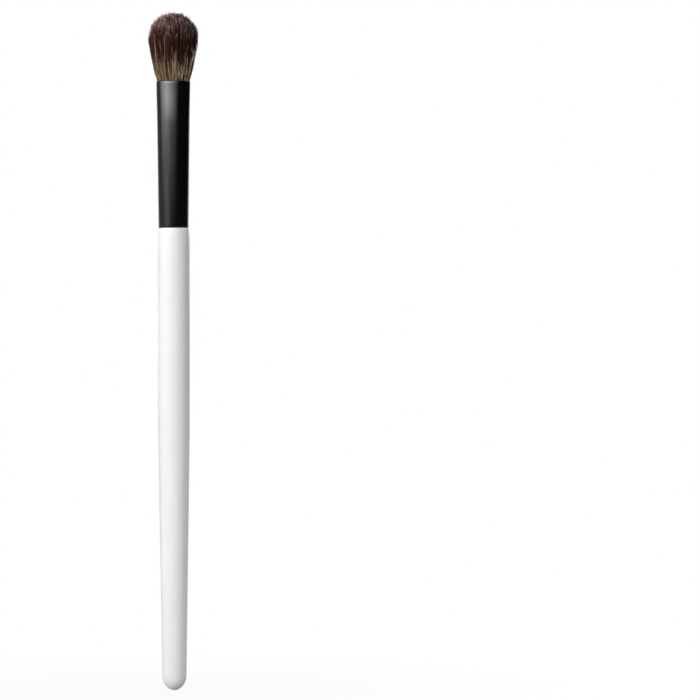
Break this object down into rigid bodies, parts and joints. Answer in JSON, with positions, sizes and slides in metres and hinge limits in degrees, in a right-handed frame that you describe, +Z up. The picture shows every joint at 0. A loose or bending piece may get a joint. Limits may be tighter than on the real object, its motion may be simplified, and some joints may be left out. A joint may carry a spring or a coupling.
{
  "type": "makeup brush",
  "caption": "Slim eye-highlighter brush: domed oval hair head in a black tube ferrule with an oval mouth, on a tapered white lacquered wooden handle.",
  "frame": {"origin": "the lowest point of the handle's rounded tail end, on the brush's axis", "axes": "+Z runs up the axis from the tail end to the hair tips; X is the wide way of the ferrule's oval mouth and of the hair head; Y is the thin way"},
  "size_m": [0.0138, 0.0102, 0.19],
  "materials": {
    "wood": "turned hardwood, bare",
    "white_lacquer": "smooth white lacquer",
    "glue": "set glue",
    "black_ferrule": "satin black",
    "resin": "set amber resin",
    "thread": "waxed cotton thread",
    "hair": "soft fibre, taupe at the root and dark brown above"
  },
  "bodies": {
    "root": {"handle_core": "wood", "handle_lacquer": "white_lacquer", "tenon_glue": "glue", "ferrule": "black_ferrule", "resin_plug": "resin", "root_binding": "thread", "hair_tuft": "hair"}
  },
  "joints": []
}
